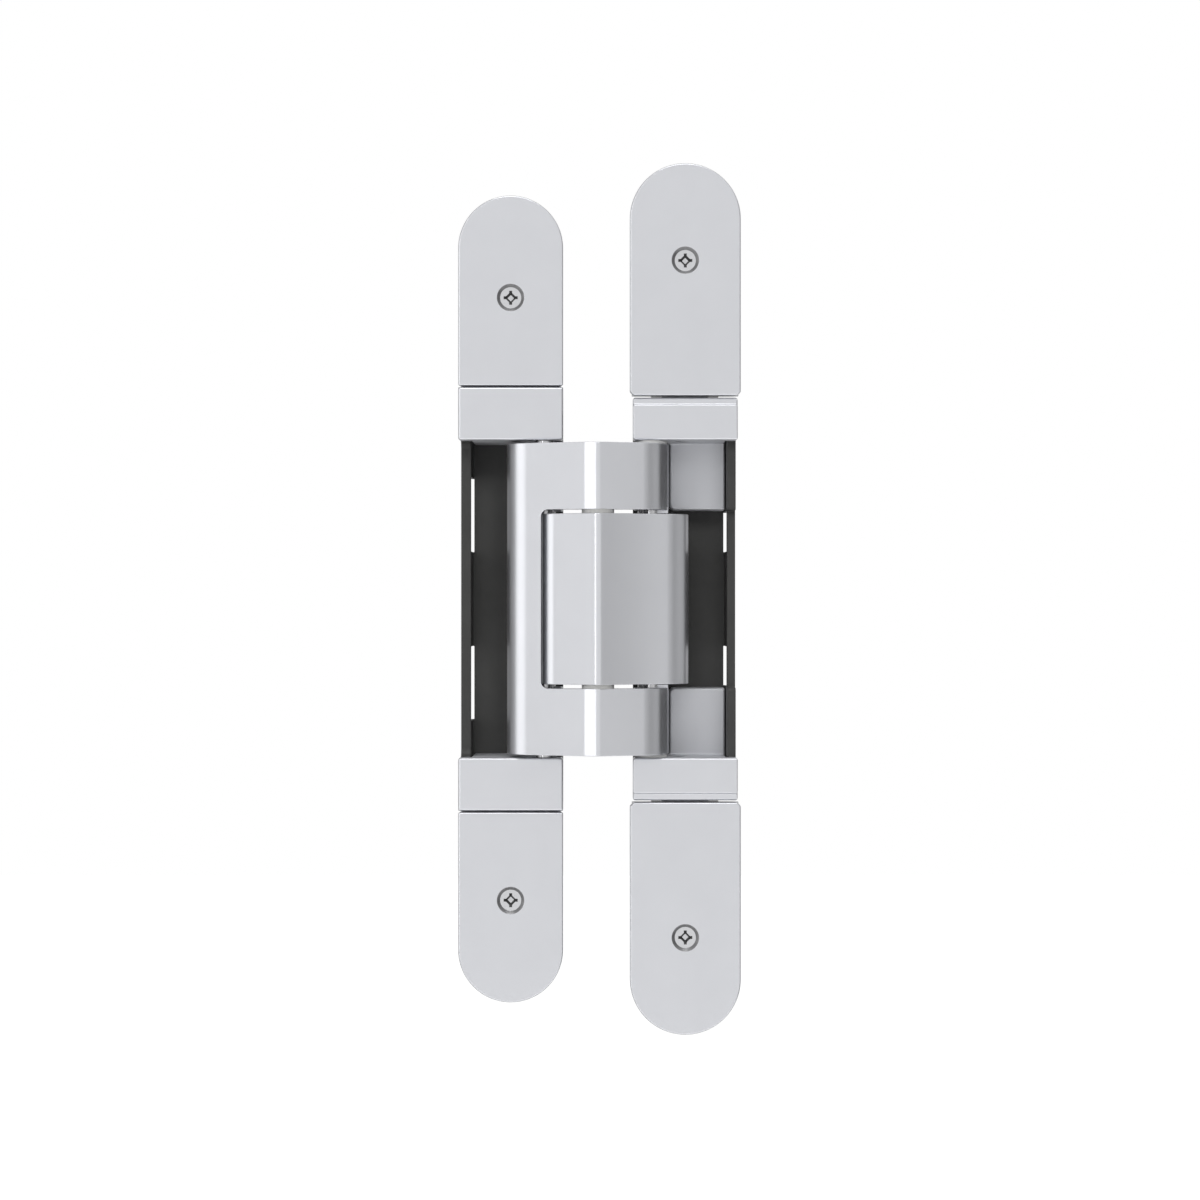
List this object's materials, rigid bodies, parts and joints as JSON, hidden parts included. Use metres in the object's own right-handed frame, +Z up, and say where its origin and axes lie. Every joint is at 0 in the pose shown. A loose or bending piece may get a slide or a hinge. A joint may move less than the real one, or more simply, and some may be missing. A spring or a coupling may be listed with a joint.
{
  "type": "concealed door hinge",
  "caption": "Concealed door hinge with two crossing arms on a centre pin, two recessed leaves with round ended cover plates, fully hidden when the door is shut.",
  "frame": {"origin": "middle of the frame leaf's front face, flush with the face of the door frame", "axes": "+Z up along the pins, +Y into the frame leaf's pocket, -X towards the door leaf, hinge open at 180 degrees"},
  "size_m": [0.0841, 0.0448, 0.2594],
  "materials": {
    "dark_housing": "matt anthracite coating",
    "silver_casting": "satin silver coating on zinc die casting",
    "silver_arm": "satin silver coating on zinc die casting",
    "silver_cover": "fine matt silver",
    "screw_steel": "zinc plated",
    "pin_steel": "ground",
    "bearing_plastic": "plain"
  },
  "bodies": {
    "frame_leaf": {"frame_housing": "dark_housing", "frame_end_top": "silver_casting", "frame_end_bottom": "silver_casting", "frame_plate_top": "silver_casting", "frame_plate_bottom": "silver_casting", "frame_cover_top": "silver_cover", "frame_cover_bottom": "silver_cover", "frame_cover_screws": "screw_steel", "frame_clamp_screws": "screw_steel", "frame_height_screws": "screw_steel", "frame_pivot_pin": "pin_steel", "frame_pivot_spacers": "pin_steel", "frame_back_screws": "screw_steel"},
    "inner_arm": {"inner_arm": "silver_arm", "centre_pin": "pin_steel", "frame_pivot_bushes": "bearing_plastic", "door_guide_pin": "pin_steel", "door_guide_shoes": "bearing_plastic"},
    "outer_arm": {"outer_arm": "silver_arm", "door_pivot_bushes": "bearing_plastic", "centre_bushes": "bearing_plastic", "frame_guide_pin": "pin_steel", "frame_guide_shoes": "bearing_plastic", "frame_guide_washers": "bearing_plastic"},
    "door_leaf": {"door_housing": "dark_housing", "door_end_top": "silver_casting", "door_end_bottom": "silver_casting", "door_cover_top": "silver_cover", "door_cover_bottom": "silver_cover", "door_cover_screws": "screw_steel", "door_pivot_pin": "pin_steel", "door_back_screws": "screw_steel"}
  },
  "joints": [
    {"name": "inner_arm_swing", "type": "hinge", "parent": "frame_leaf", "child": "inner_arm", "pos_m": [-0.0101, 0.018, 0], "axis": [0, 0, 1], "range_deg": [0, 79.52]},
    {"name": "centre_pivot", "type": "hinge", "parent": "inner_arm", "child": "outer_arm", "pos_m": [-0.026, -0.006, 0], "axis": [0, 0, 1], "range_deg": [0, 20.96]},
    {"name": "door_leaf_swing", "type": "hinge", "parent": "outer_arm", "child": "door_leaf", "pos_m": [-0.0419, 0.018, 0], "axis": [0, 0, 1], "range_deg": [0, 79.52]}
  ],
  "couplings": [
    {"joint": "centre_pivot", "follows": "inner_arm_swing", "ratio": 0.26357},
    {"joint": "door_leaf_swing", "follows": "inner_arm_swing", "ratio": 1}
  ]
}
